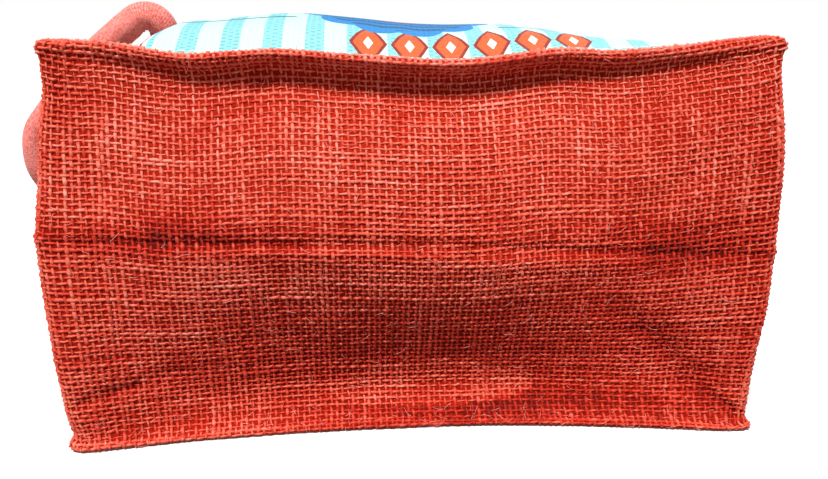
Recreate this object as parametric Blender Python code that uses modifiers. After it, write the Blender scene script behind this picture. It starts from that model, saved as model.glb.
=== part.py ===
"""A small gusseted jute bag lying on its back panel, with its base towards -Y and its mouth towards +Y.

One strip of dyed hessian makes the two sides and the base. A striped panel is sewn on above it and
another below it, and a padded cotton handle is sewn inside the mouth of each panel. Metres, +Z up.
"""

import math

import bmesh
import bpy
from mathutils import Matrix, Vector

# The bag's main sizes.
BAG_WIDTH = 0.250  # over the seam ridges, along X
BAG_LENGTH = 0.225  # from base to mouth, along Y
BAG_DEPTH = 0.1415  # from the floor to the upper seam ridge at the base
CLOTH = 0.0011  # thickness of the jute cloth
HEM_WIDTH = 0.020  # turned inwards at the mouth, so the cloth is double there
HEM_FACTOR = 2.0  # how many times thicker the hem is than the cloth
SEAM_CLEAR = 0.0135  # the hem is only single cloth this close to a seam, where it is pressed flat
RIDGE_REACH = 0.006  # how far a seam ridge stands out of the wall below it
MOUTH_WAVE = 0.0024  # how far the edge of the mouth wanders in and out

# The strip that makes both sides and the base, a row for each fold line across it, from the lower seam
# to the upper one. height is above the floor, and the others say how far the cloth stands out of the
# bag's plain wall: at the base's left corner, its middle and its right corner, and at the mouth.
GUSSET_COLUMNS = ("height", "left", "middle", "right", "mouth")
GUSSET_ROWS = (
    (0.0029, 0.0060, -0.0045, 0.0060, 0.0060),
    (0.0031, 0.0044, -0.0071, 0.0042, 0.0034),
    (0.0060, 0.0042, -0.0104, 0.0038, -0.0002),
    (0.0100, 0.0051, -0.0121, 0.0041, -0.0023),
    (0.0150, 0.0061, -0.0126, 0.0047, -0.0045),
    (0.0220, 0.0068, -0.0108, 0.0052, -0.0075),
    (0.0320, 0.0077, -0.0067, 0.0061, -0.0118),
    (0.0440, 0.0087, -0.0008, 0.0073, -0.0168),
    (0.0560, 0.0097, 0.0048, 0.0084, -0.0216),
    (0.0660, 0.0104, 0.0086, 0.0091, -0.0252),
    (0.0722, 0.0107, 0.0101, 0.0095, -0.0269),
    (0.0750, 0.0115, 0.0088, 0.0101, -0.0275),
    (0.0778, 0.0108, 0.0098, 0.0097, -0.0269),
    (0.0860, 0.0102, 0.0092, 0.0099, -0.0240),
    (0.0960, 0.0093, 0.0076, 0.0101, -0.0199),
    (0.1060, 0.0082, 0.0050, 0.0097, -0.0156),
    (0.1150, 0.0070, 0.0018, 0.0087, -0.0112),
    (0.1220, 0.0059, -0.0014, 0.0075, -0.0068),
    (0.1275, 0.0050, -0.0037, 0.0064, -0.0030),
    (0.1315, 0.0044, -0.0042, 0.0056, -0.0004),
    (0.1350, 0.0042, -0.0028, 0.0051, 0.0018),
    (0.1385, 0.0048, 0.0002, 0.0052, 0.0041),
    (BAG_DEPTH, 0.0060, 0.0030, 0.0060, 0.0060),
)
CORNER_LIFT = 0.0007  # the lower seam rides up a little where the strip turns its corners
CREASE_LEAN = 0.0048  # how much the middle crease climbs towards the left end of the base
CREASE_TURN = 0.0012  # the side walls pinch in this much more on the left at the mouth

# The upper seam ridge along the base: x, and its height above the floor there.
RIDGE_COLUMNS = ("x", "height")
RIDGE_ROWS = (
    (-0.125, 0.1432),
    (-0.112, 0.1441),
    (-0.082, 0.1404),
    (-0.052, 0.1420),
    (-0.025, 0.1402),
    (0.016, 0.1385),
    (0.050, 0.1421),
    (0.072, 0.1415),
    (0.098, 0.1434),
    (0.125, 0.1460),
)
RIDGE_AT_MOUTH = 0.1365  # height of the upper ridges at the mouth
RIDGE_SWAY = 0.0012  # the slow wave of the ridges along the sides
HEAD_ROOM = 0.050  # the top stretch of the strip that follows the ridge's ups and downs

# Soft creases pressed into the base: from one end to the other, how deep and how wide.
CREASE_COLUMNS = ("x1", "z1", "x2", "z2", "depth", "width")
CREASE_ROWS = (
    (0.062, 0.056, 0.104, 0.022, 0.0018, 0.0080),
    (0.100, 0.018, 0.121, 0.004, 0.0012, 0.0050),
    (-0.118, 0.020, -0.078, 0.030, 0.0014, 0.0070),
    (-0.119, 0.128, -0.108, 0.096, 0.0012, 0.0060),
)

# The front panel swells like a pillow: how high across the bag, and what share of it along the bag.
CROWN_COLUMNS = ("x", "height")
CROWN_ROWS = (
    (-0.125, 0.0000),
    (-0.116, 0.0020),
    (-0.101, 0.0092),
    (-0.078, 0.0118),
    (-0.040, 0.0150),
    (0.000, 0.0141),
    (0.030, 0.0123),
    (0.062, 0.0074),
    (0.086, 0.0032),
    (0.104, 0.0004),
    (0.125, 0.0000),
)
SWELL_COLUMNS = ("y", "share")
SWELL_ROWS = (
    (0.000, 0.00),
    (0.012, 0.04),
    (0.024, 0.26),
    (0.040, 0.64),
    (0.060, 0.92),
    (0.084, 1.02),
    (0.120, 0.96),
    (0.160, 0.72),
    (0.195, 0.42),
    (0.225, 0.20),
)
# Behind each ridge the front panel drops into a groove: distance from its edge, and the drop.
GROOVE_COLUMNS = ("inward", "drop")
GROOVE_ROWS = (
    (0.000, 0.0000),
    (0.003, 0.0030),
    (0.006, 0.0052),
    (0.0095, 0.0062),
    (0.014, 0.0056),
    (0.022, 0.0030),
    (0.032, 0.0000),
)
PANEL_INSET = 0.0036  # the front panel's edge lies this far behind the ridge of the strip

# The handles: padded cotton tubes with flat ends.
HANDLE_SIZE = 0.015
TAB_WIDTH = 0.022
TAB_THICKNESS = 0.003
LOWER_TAB_GAP = 0.0005  # between a flat end and the hem that it is sewn to
UPPER_TAB_GAP = 0.0011
HANDLE_SIDES = 10
HANDLE_STEP = 0.0085  # between two sections along a handle
TAB_X = 0.050  # each handle is sewn on this far from the middle
TAB_IN = 0.026  # the tabs reach this far into the mouth
TAB_OUT = 0.004  # still flat at this distance inside the mouth
SWELL_LENGTH = 0.030  # a flat end grows to the round tube over this length

# The routes of the handles outside the mouth: the upper one rises and flops over the left side, and the
# lower one lies on the floor in a wide loop. Every point is chosen by hand.
UPPER_ROUTE = (
    (-0.0560, 0.2385, 0.1285),
    (-0.0720, 0.2485, 0.1280),
    (-0.0920, 0.2525, 0.1290),
    (-0.1110, 0.2510, 0.1320),
    (-0.1250, 0.2455, 0.1365),
    (-0.1328, 0.2394, 0.1437),
    (-0.1350, 0.2352, 0.1500),
    (-0.1361, 0.2322, 0.1548),
    (-0.1392, 0.2303, 0.1585),
    (-0.1440, 0.2293, 0.1600),
    (-0.1487, 0.2287, 0.1590),
    (-0.1530, 0.2284, 0.1560),
    (-0.1610, 0.2282, 0.1495),
    (-0.1740, 0.2282, 0.1385),
    (-0.1865, 0.2285, 0.1258),
    (-0.1960, 0.2290, 0.1135),
    (-0.2055, 0.2298, 0.1030),
    (-0.2125, 0.2310, 0.0935),
    (-0.2149, 0.2325, 0.0830),
    (-0.2140, 0.2355, 0.0700),
    (-0.2080, 0.2400, 0.0590),
    (-0.1930, 0.2450, 0.0530),
    (-0.1700, 0.2505, 0.0530),
    (-0.1380, 0.2560, 0.0590),
    (-0.1000, 0.2600, 0.0710),
    (-0.0600, 0.2610, 0.0850),
    (-0.0200, 0.2580, 0.0990),
    (0.0150, 0.2520, 0.1110),
    (0.0390, 0.2430, 0.1210),
    (0.0490, 0.2350, 0.1270),
)
LOWER_ROUTE = (
    (-0.0535, 0.2440, 0.0080),
    (-0.0700, 0.2690, 0.0078),
    (-0.0900, 0.2950, 0.0078),
    (-0.0940, 0.3260, 0.0078),
    (-0.0720, 0.3530, 0.0078),
    (-0.0310, 0.3680, 0.0078),
    (0.0160, 0.3700, 0.0078),
    (0.0610, 0.3590, 0.0078),
    (0.0900, 0.3340, 0.0078),
    (0.0940, 0.3030, 0.0078),
    (0.0780, 0.2730, 0.0078),
    (0.0560, 0.2450, 0.0080),
)

# Colours: linear red, green and blue.
RED_JUTE = (0.46, 0.050, 0.024, 1.0)
PALE_STRIPES = (0.52, 0.86, 0.86, 1.0)
CORAL_COTTON = (0.62, 0.11, 0.085, 1.0)

WALL_X = BAG_WIDTH / 2 - RIDGE_REACH  # the plain side wall
WALL_Y = RIDGE_REACH  # the plain base wall


def smooth(t):
    """Ease from 0 to 1."""
    t = min(1.0, max(0.0, t))
    return t * t * (3.0 - 2.0 * t)


def along(rows, columns, key, value, at):
    """Read column value of a table where column key is at, on a smooth curve through its rows."""
    k = columns.index(key)
    v = columns.index(value)
    if at <= rows[0][k]:
        return rows[0][v]
    if at >= rows[-1][k]:
        return rows[-1][v]
    i = max(n for n in range(len(rows) - 1) if rows[n][k] <= at)
    before = rows[max(i - 1, 0)]
    start = rows[i]
    end = rows[i + 1]
    after = rows[min(i + 2, len(rows) - 1)]
    span = end[k] - start[k]
    t = (at - start[k]) / span
    slope_in = (end[v] - before[v]) / max(end[k] - before[k], 1e-9) * span
    slope_out = (after[v] - start[v]) / max(after[k] - start[k], 1e-9) * span
    return (
        start[v] * (2 * t**3 - 3 * t**2 + 1)
        + slope_in * (t**3 - 2 * t**2 + t)
        + end[v] * (-2 * t**3 + 3 * t**2)
        + slope_out * (t**3 - t**2)
    )


def stations(start, end, close, far):
    """Places from start to end, a small step apart by the ends and a larger one between them."""
    length = abs(end - start)
    sign = 1.0 if end > start else -1.0
    placed = [0.0]
    while placed[-1] < length - close * 0.6:
        at = placed[-1]
        edge = min(at, length - at)
        placed.append(at + close + (far - close) * smooth(edge / (4 * far)))
    placed[-1] = length
    return [start + sign * at for at in placed]


def uneven(y, across):
    """Move a place along the bag a little, growing to the full wave at the mouth."""
    return y + MOUTH_WAVE * (y / BAG_LENGTH) ** 2 * math.sin(across / 0.029 + 0.7)


def crease_dent(x, z):
    """How far the soft creases press the base in at this place."""
    total = 0.0
    for row in CREASE_ROWS:
        crease = dict(zip(CREASE_COLUMNS, row))
        start = Vector((crease["x1"], crease["z1"]))
        run = Vector((crease["x2"], crease["z2"])) - start
        share = min(1.0, max(0.0, (Vector((x, z)) - start).dot(run) / run.length_squared))
        away = (Vector((x, z)) - start - run * share).length
        total += crease["depth"] * math.exp(-((away / crease["width"]) ** 2))
    return total


def ridge_height(x, y):
    """Height of the upper seam ridge at a place on the bag's outline."""
    at_base = along(RIDGE_ROWS, RIDGE_COLUMNS, "x", "height", x)
    share = max(0.0, y) / BAG_LENGTH
    sway = RIDGE_SWAY * math.sin(2.6 * math.pi * share) * (1 if x < 0 else -1)
    return at_base + (RIDGE_AT_MOUTH - at_base) * smooth(share) + sway * smooth(4 * share)


def strip_out(row, x, y):
    """How far the strip stands out of the plain wall on one row, at the base (y is 0) or on a side."""
    fold = dict(zip(GUSSET_COLUMNS, row))
    t = x / WALL_X
    at_base = (
        fold["left"] * (t * t - t) / 2
        + fold["middle"] * (1 - t * t)
        + fold["right"] * (t * t + t) / 2
    )
    share = smooth(y / BAG_LENGTH) ** 0.9
    pinch = CREASE_TURN if x < 0 and fold["mouth"] < -0.01 else 0.0
    return at_base + (fold["mouth"] - pinch - at_base) * share


def strip_point(row, x, y, corner):
    """A point of the strip's outer face: x and y say where on the plain wall, corner says how square."""
    height = row[0]
    bulge = math.sin(math.pi * min(1.0, height / BAG_DEPTH))
    lean = CREASE_LEAN * bulge**2 * (-x / WALL_X)
    lift = smooth((height - (BAG_DEPTH - HEAD_ROOM)) / HEAD_ROOM)
    top = ridge_height(x * BAG_WIDTH / 2 / WALL_X, y)
    z = height + lean * (1 - lift) + (top - BAG_DEPTH) * lift
    out = strip_out(row, x, y)
    if corner:
        side = math.copysign(1.0, x)
        z += CORNER_LIFT * (1 - smooth(height / 0.012))
        return Vector((x + side * out * corner, WALL_Y - out * corner, z))
    if y <= 0.0:
        return Vector((x, WALL_Y - out + crease_dent(x, z), z))
    return Vector((x + math.copysign(1.0, x) * out, uneven(WALL_Y + y, height + x), z))


def grid_object(name, columns, rows, place, hem, colour, roughness):
    """An open sheet of columns by rows points, each put by place, given its thickness by Solidify."""
    mesh = bmesh.new()
    bmesh.ops.create_grid(mesh, x_segments=columns - 1, y_segments=rows - 1, size=1.0)
    weights = {}
    for vert in mesh.verts:
        i = round((vert.co.x + 1) / 2 * (columns - 1))
        j = round((vert.co.y + 1) / 2 * (rows - 1))
        vert.co = place(i, j)
        weights[vert.index] = hem(i, j)
    data = bpy.data.meshes.new(name)
    mesh.to_mesh(data)
    mesh.free()
    data.shade_smooth()
    sheet = bpy.data.objects.new(name, data)
    group = sheet.vertex_groups.new(name="hem")
    for index, weight in weights.items():
        group.add([index], weight, "REPLACE")
    shell = sheet.modifiers.new("thickness", "SOLIDIFY")
    shell.thickness = CLOTH * HEM_FACTOR
    shell.offset = -1.0
    shell.use_even_offset = True
    shell.vertex_group = "hem"
    shell.thickness_vertex_group = 1.0 / HEM_FACTOR
    data.materials.append(finish(name, colour, roughness))
    return sheet


def finish(name, colour, roughness):
    """A plain finish with the part's colour."""
    material = bpy.data.materials.new(name)
    material.use_nodes = True
    shader = material.node_tree.nodes["Principled BSDF"]
    shader.inputs["Base Color"].default_value = colour
    shader.inputs["Roughness"].default_value = roughness
    shader.inputs["Metallic"].default_value = 0.0
    return material


def make_gusset():
    """The dyed strip: down the left side, across the base and up the right side."""
    close = 0.004
    side = stations(BAG_LENGTH - WALL_Y, 0.0, HEM_WIDTH / 2, 0.015)
    side = [y for y in side if y > close] + [close]
    base = stations(-WALL_X, WALL_X, close, 0.009)[1:-1]
    rounding = 0.94  # the corner of the strip is a little blunt
    places = [(-WALL_X, y, 0.0) for y in side]
    places += [(-WALL_X, 0.0, rounding)]
    places += [(x, 0.0, 0.0) for x in base]
    places += [(WALL_X, 0.0, rounding)]
    places += [(WALL_X, y, 0.0) for y in reversed(side)]

    def place(i, j):
        return strip_point(GUSSET_ROWS[j], *places[i])

    def hem(i, j):
        at_mouth = places[i][1] > BAG_LENGTH - WALL_Y - HEM_WIDTH
        clear_of_seams = SEAM_CLEAR < GUSSET_ROWS[j][0] < BAG_DEPTH - SEAM_CLEAR
        return 1.0 if at_mouth and clear_of_seams else 0.0

    return grid_object("gusset", len(places), len(GUSSET_ROWS), place, hem, RED_JUTE, 0.9)


def panel_edge(x):
    """How far back the base ridge lies in the middle of the bag, where the strip curves inwards."""
    row = GUSSET_ROWS[-1]
    return RIDGE_REACH - strip_out(row, min(WALL_X, max(-WALL_X, x)), 0.0)


def front_height(x, y):
    """Height of the front panel's outer face, y measured from its edge at the base."""
    half = BAG_WIDTH / 2 - PANEL_INSET
    inward = min(half - abs(x), y)
    drop = along(GROOVE_ROWS, GROOVE_COLUMNS, "inward", "drop", inward)
    near_side = ridge_height(math.copysign(BAG_WIDTH / 2, x), y)
    across = smooth((half - abs(x)) / half)
    middle = ridge_height(x, 0.0) + (RIDGE_AT_MOUTH - ridge_height(x, 0.0)) * smooth(y / BAG_LENGTH)
    ridge = near_side + (middle - near_side) * across if y > 0 else ridge_height(x, 0.0)
    crown = along(CROWN_ROWS, CROWN_COLUMNS, "x", "height", x)
    share = along(SWELL_ROWS, SWELL_COLUMNS, "y", "share", y)
    return ridge - drop + crown * share


def make_front_panel():
    """The striped panel that shows above the base, swollen like a pillow."""
    half = BAG_WIDTH / 2 - PANEL_INSET
    grooves = [row[0] for row in GROOVE_ROWS[:-1]]
    inner = stations(-half + GROOVE_ROWS[-1][0], half - GROOVE_ROWS[-1][0], 0.012, 0.013)
    xs = [-half + d for d in grooves] + inner + [half - d for d in reversed(grooves)]
    length = BAG_LENGTH - PANEL_INSET
    ys = grooves + stations(GROOVE_ROWS[-1][0], length - HEM_WIDTH, 0.010, 0.014)
    ys += [length - HEM_WIDTH / 2, length]

    def place(i, j):
        x = xs[i]
        y = ys[j]
        start = PANEL_INSET + panel_edge(x) * (1 - smooth(y / (BAG_LENGTH / 2)))
        return Vector((x, uneven(start + y, BAG_DEPTH + x), front_height(x, y)))

    def hem(i, j):
        at_mouth = ys[j] > length - HEM_WIDTH - 1e-6
        return 1.0 if at_mouth and half - abs(xs[i]) > SEAM_CLEAR else 0.0

    return grid_object("front_panel", len(xs), len(ys), place, hem, PALE_STRIPES, 0.8)


def make_back_panel():
    """The striped panel that the bag lies on: flat on the floor."""
    half = BAG_WIDTH / 2
    flat = 0.008  # as far as the strip's landing reaches over it
    inner = stations(-half + SEAM_CLEAR, half - SEAM_CLEAR, 0.018, 0.022)
    xs = [-half, -half + flat] + inner + [half - flat, half]
    ys = [0.0] + stations(SEAM_CLEAR, BAG_LENGTH - HEM_WIDTH, 0.024, 0.030)
    ys += [BAG_LENGTH - HEM_WIDTH / 2, BAG_LENGTH]
    lower_edge = GUSSET_ROWS[0]

    def place(i, j):
        x = xs[i]
        wall_x = min(WALL_X, max(-WALL_X, x))
        inward = RIDGE_REACH - strip_out(lower_edge, wall_x, 0.0)
        y = inward * (1 - smooth(ys[j] / (BAG_LENGTH / 2))) + ys[j]
        return Vector((-x, uneven(y, -x), 0.0))

    def hem(i, j):
        at_mouth = ys[j] > BAG_LENGTH - HEM_WIDTH - 1e-6
        return 1.0 if at_mouth and half - abs(xs[i]) > flat + 1e-6 else 0.0

    return grid_object("back_panel", len(xs), len(ys), place, hem, PALE_STRIPES, 0.8)


def curve_point(before, start, end, after, t):
    """A point on the smooth curve through four points, between the middle two."""
    return (
        start * 2
        + (end - before) * t
        + (before * 2 - start * 5 + end * 4 - after) * t**2
        + (start * 3 - before - end * 3 + after) * t**3
    ) / 2


def even_route(points, step):
    """Points a step apart on a smooth curve through the route's points."""
    dense = []
    for i in range(len(points) - 1):
        before = points[max(i - 1, 0)]
        after = points[min(i + 2, len(points) - 1)]
        dense += [curve_point(before, points[i], points[i + 1], after, k / 24) for k in range(24)]
    dense.append(points[-1])
    lengths = [0.0]
    for a, b in zip(dense, dense[1:]):
        lengths.append(lengths[-1] + (b - a).length)
    count = round(lengths[-1] / step)
    even = []
    k = 0
    for n in range(count + 1):
        at = lengths[-1] * n / count
        while k < len(dense) - 2 and lengths[k + 1] < at:
            k += 1
        share = (at - lengths[k]) / max(lengths[k + 1] - lengths[k], 1e-9)
        even.append(dense[k].lerp(dense[k + 1], min(1.0, share)))
    return even


def handle_object(name, tab_height, route):
    """A padded tube from one flat end, along its route, to the other flat end."""
    rows = []
    for side in (-1, 1):
        for y in (BAG_LENGTH - TAB_IN, BAG_LENGTH - (TAB_IN + TAB_OUT) / 2, BAG_LENGTH - TAB_OUT):
            rows.append(Vector((side * TAB_X, y, tab_height(side * TAB_X, y))))
    points = rows[:3] + [Vector(point) for point in route] + rows[:2:-1]
    path = even_route(points, HANDLE_STEP)
    total = sum((b - a).length for a, b in zip(path, path[1:]))

    tangents = []
    for i in range(len(path)):
        tangents.append((path[min(i + 1, len(path) - 1)] - path[max(i - 1, 0)]).normalized())
    wide = Vector((1, 0, 0))
    frames = []
    for i, tangent in enumerate(tangents):
        if i:
            wide = tangents[i - 1].rotation_difference(tangent) @ wide
        wide = (wide - tangent * wide.dot(tangent)).normalized()
        frames.append(wide.copy())
    level = Vector((1, 0, 0))
    level = (level - tangents[-1] * level.dot(tangents[-1])).normalized()
    twist = math.atan2(frames[-1].cross(level).dot(tangents[-1]), frames[-1].dot(level))
    if abs(twist) > math.pi / 2:
        twist -= math.copysign(math.pi, twist)

    mesh = bmesh.new()
    rings = []
    run = 0.0
    for i, centre in enumerate(path):
        if i:
            run += (centre - path[i - 1]).length
        turn = Matrix.Rotation(twist * i / (len(path) - 1), 3, tangents[i])
        across = turn @ frames[i]
        up = tangents[i].cross(across)
        flat = TAB_IN - TAB_OUT
        full = smooth((min(run, total - run) - flat) / SWELL_LENGTH)
        half_width = (TAB_WIDTH + (HANDLE_SIZE - TAB_WIDTH) * full) / 2
        half_height = (TAB_THICKNESS + (HANDLE_SIZE - TAB_THICKNESS) * full) / 2
        ring = []
        for n in range(HANDLE_SIDES):
            angle = 2 * math.pi * n / HANDLE_SIDES
            offset = across * math.cos(angle) * half_width + up * math.sin(angle) * half_height
            ring.append(mesh.verts.new(centre + offset))
        rings.append(ring)
    for a, b in zip(rings, rings[1:]):
        for n in range(HANDLE_SIDES):
            m = (n + 1) % HANDLE_SIDES
            mesh.faces.new((a[n], a[m], b[m], b[n]))
    mesh.faces.new(rings[0])
    mesh.faces.new(rings[-1])
    bmesh.ops.recalc_face_normals(mesh, faces=mesh.faces)
    data = bpy.data.meshes.new(name)
    mesh.to_mesh(data)
    mesh.free()
    data.shade_smooth()
    data.materials.append(finish(name, CORAL_COTTON, 0.85))
    return bpy.data.objects.new(name, data)


def upper_tab_height(x, y):
    """The flat ends of the upper handle lie against the inside of the front panel's hem."""
    inside = front_height(x, y - PANEL_INSET) - CLOTH * HEM_FACTOR
    return inside - UPPER_TAB_GAP - TAB_THICKNESS / 2


def lower_tab_height(x, y):
    """The flat ends of the lower handle lie on the inside of the back panel's hem."""
    return CLOTH * HEM_FACTOR + LOWER_TAB_GAP + TAB_THICKNESS / 2


def centre_on_origin(parts, collection):
    """Hang the parts on one empty, so that the origin is under the middle of the whole bag."""
    bpy.context.view_layer.update()
    depsgraph = bpy.context.evaluated_depsgraph_get()
    xs = []
    ys = []
    for part in parts:
        shape = part.evaluated_get(depsgraph).to_mesh()
        xs += [vert.co.x for vert in shape.vertices]
        ys += [vert.co.y for vert in shape.vertices]
        part.evaluated_get(depsgraph).to_mesh_clear()
    origin = bpy.data.objects.new("bag_origin", None)
    origin.location = (-(min(xs) + max(xs)) / 2, -(min(ys) + max(ys)) / 2, 0.0)
    collection.objects.link(origin)
    for part in parts:
        part.parent = origin
    bpy.context.view_layer.update()
    print("bag_origin", tuple(round(value, 5) for value in origin.location))


for thing in list(bpy.data.objects):
    bpy.data.objects.remove(thing)

jute_bag = bpy.data.collections.new("jute_bag")
bpy.context.scene.collection.children.link(jute_bag)
parts = [
    make_gusset(),
    make_front_panel(),
    make_back_panel(),
    handle_object("front_handle", upper_tab_height, UPPER_ROUTE),
    handle_object("back_handle", lower_tab_height, LOWER_ROUTE),
]
for part in parts:
    jute_bag.objects.link(part)
centre_on_origin(parts, jute_bag)
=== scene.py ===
import math

import bmesh
import bpy
import numpy as np
from mathutils import Matrix, Vector


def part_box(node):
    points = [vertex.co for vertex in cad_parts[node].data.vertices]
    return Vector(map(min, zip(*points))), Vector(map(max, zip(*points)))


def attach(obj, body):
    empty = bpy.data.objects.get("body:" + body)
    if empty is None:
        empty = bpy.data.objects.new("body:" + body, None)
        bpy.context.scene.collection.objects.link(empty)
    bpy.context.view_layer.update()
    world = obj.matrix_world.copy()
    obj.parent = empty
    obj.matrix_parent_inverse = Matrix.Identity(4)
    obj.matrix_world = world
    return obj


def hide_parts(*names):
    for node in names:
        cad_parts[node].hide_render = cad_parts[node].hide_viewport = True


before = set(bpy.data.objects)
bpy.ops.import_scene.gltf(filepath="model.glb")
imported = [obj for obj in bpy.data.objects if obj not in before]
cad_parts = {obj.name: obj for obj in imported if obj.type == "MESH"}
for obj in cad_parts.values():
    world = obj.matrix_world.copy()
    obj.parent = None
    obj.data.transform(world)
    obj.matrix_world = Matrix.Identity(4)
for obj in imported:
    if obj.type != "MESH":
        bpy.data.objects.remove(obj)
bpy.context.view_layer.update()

backLow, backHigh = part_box("back_panel")
bagOrigin = np.array(((backLow.x + backHigh.x) / 2, backLow.y, 0.0))  # the bag is drawn around its own middle
rng = np.random.default_rng(27)

# sizes that every piece of the bag shares, in metres
bag = {
    "width": 0.250,  # over the seam ridges
    "length": 0.225,  # from base to mouth
    "depth": 0.1415,  # from the floor to the upper ridge
    "ridgeReach": 0.006,  # how far a seam ridge stands out of the wall
    "cloth": 0.0011,  # thickness
    "hemWidth": 0.020,
    "mouthWave": 0.0024,  # how far the mouth's edge wanders from straight
    "mouthPitch": 0.029,  # one wave of it is 2 pi times this long
    "mouthShift": 0.7,
}
wallX = bag["width"] / 2 - bag["ridgeReach"]
wallY = bag["ridgeReach"]


def linear(code, alpha=1.0):  # sRGB hex to the linear values that Blender works in
    channels = [int(code[k:k + 2], 16) / 255 for k in (1, 3, 5)]
    return [c / 12.92 if c <= 0.04045 else ((c + 0.055) / 1.055) ** 2.4 for c in channels] + [alpha]


def feed(tree, node, sources):  # gives each named socket another node's output, or a plain value
    for socket, source in sources.items():
        if isinstance(source, bpy.types.NodeSocket):
            tree.links.new(source, node.inputs[socket])
        else:
            node.inputs[socket].default_value = source


def addNode(tree, kind, sources=None, **settings):  # one node, its settings and what feeds it
    node = tree.nodes.new("ShaderNode" + kind)
    for name, value in settings.items():
        setattr(node, name, value)
    feed(tree, node, sources or {})
    return node


def newFinish(name):  # a material with its node tree and its shader
    material = bpy.data.materials.new(name)
    material.use_nodes = True
    return material, material.node_tree, material.node_tree.nodes["Principled BSDF"]


def setStops(ramp, stops):  # colour stops of a ramp: place, hex colour
    while len(ramp.color_ramp.elements) < len(stops):
        ramp.color_ramp.elements.new(0.5)
    for element, (place, code) in zip(ramp.color_ramp.elements, stops):
        element.position = place
        element.color = linear(code)


def smooth(t):
    t = np.clip(t, 0.0, 1.0)
    return t * t * (3.0 - 2.0 * t)


def along(knots, values, at):  # a smooth curve through the knots, read at one place or at many
    knots = np.asarray(knots, float)
    values = np.asarray(values, float)
    at = np.asarray(at, float)
    before = np.concatenate((values[:1], values[:-1]))
    after = np.concatenate((values[1:], values[-1:]))
    room = np.concatenate((knots[1:], knots[-1:])) - np.concatenate((knots[:1], knots[:-1]))
    slopes = (after - before) / room.reshape((-1,) + (1,) * (values.ndim - 1))
    k = np.clip(np.searchsorted(knots, at, side="right") - 1, 0, len(knots) - 2)
    shape = at.shape + (1,) * (values.ndim - 1)
    span = (knots[k + 1] - knots[k]).reshape(shape)
    t = np.clip((at - knots[k]).reshape(shape) / span, 0.0, 1.0)
    return (
        values[k] * (2 * t**3 - 3 * t**2 + 1)
        + slopes[k] * span * (t**3 - 2 * t**2 + t)
        + values[k + 1] * (3 * t**2 - 2 * t**3)
        + slopes[k + 1] * span * (t**3 - t**2)
    )


def tableLine(rows, at):
    return along([row[0] for row in rows], [row[1] for row in rows], at)


def runAlong(points, least=0.0):  # how far along a line each of its points is
    steps = np.linalg.norm(np.diff(points, axis=0), axis=1)
    return np.concatenate(([0.0], np.cumsum(np.maximum(steps, least))))


def readLine(points, run, at):  # a line's points, or directions kept with them, at other places along it
    return np.stack([np.interp(at, run, points[:, axis]) for axis in range(3)], axis=1)


def evenly(points, count, finer=12):  # the same line with its points spread evenly along it
    run = runAlong(points, 1e-7)
    fine = along(run, points, np.linspace(0.0, run[-1], len(points) * finer))
    fineRun = runAlong(fine)
    return readLine(fine, fineRun, np.linspace(0.0, fineRun[-1], count))


def drift(count, length, size):  # slow random wander along a line, a new value every few steps
    knots = max(3, int(count / length) + 2)
    return along(np.arange(knots), rng.normal(0.0, size, knots), np.linspace(0, knots - 1, count))


def uneven(y, across):  # the mouth's edge wanders, more the nearer to it
    wave = np.sin(across / bag["mouthPitch"] + bag["mouthShift"])
    return y + bag["mouthWave"] * (y / bag["length"]) ** 2 * wave


# the camera of the photo, in the bag's own place, and a soft studio
studio = {
    "cameraPlace": (-0.0218, -0.2837, 0.142),
    "cameraTilt": 77.0,
    "cameraTurn": -3.9,
    "lens": 36.09,
    "sensor": 36.0,
    "floorColour": "#f4f3f1",
    "floorSize": 40.0,
    "floorDrop": 0.0003,
    "roomColour": "#ffffff",
    "roomPower": 1.0,  # how bright the white room looks
    "fillPower": 0.26,  # how much of it reaches the cloth
}
lamps = (  # name, where from, power, how wide the light is in degrees
    ("keyLamp", (-0.22, -0.60, 1.00), 4.95, 12.0),
    ("backLamp", (0.50, 0.90, 0.80), 0.5, 50.0),
)


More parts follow.
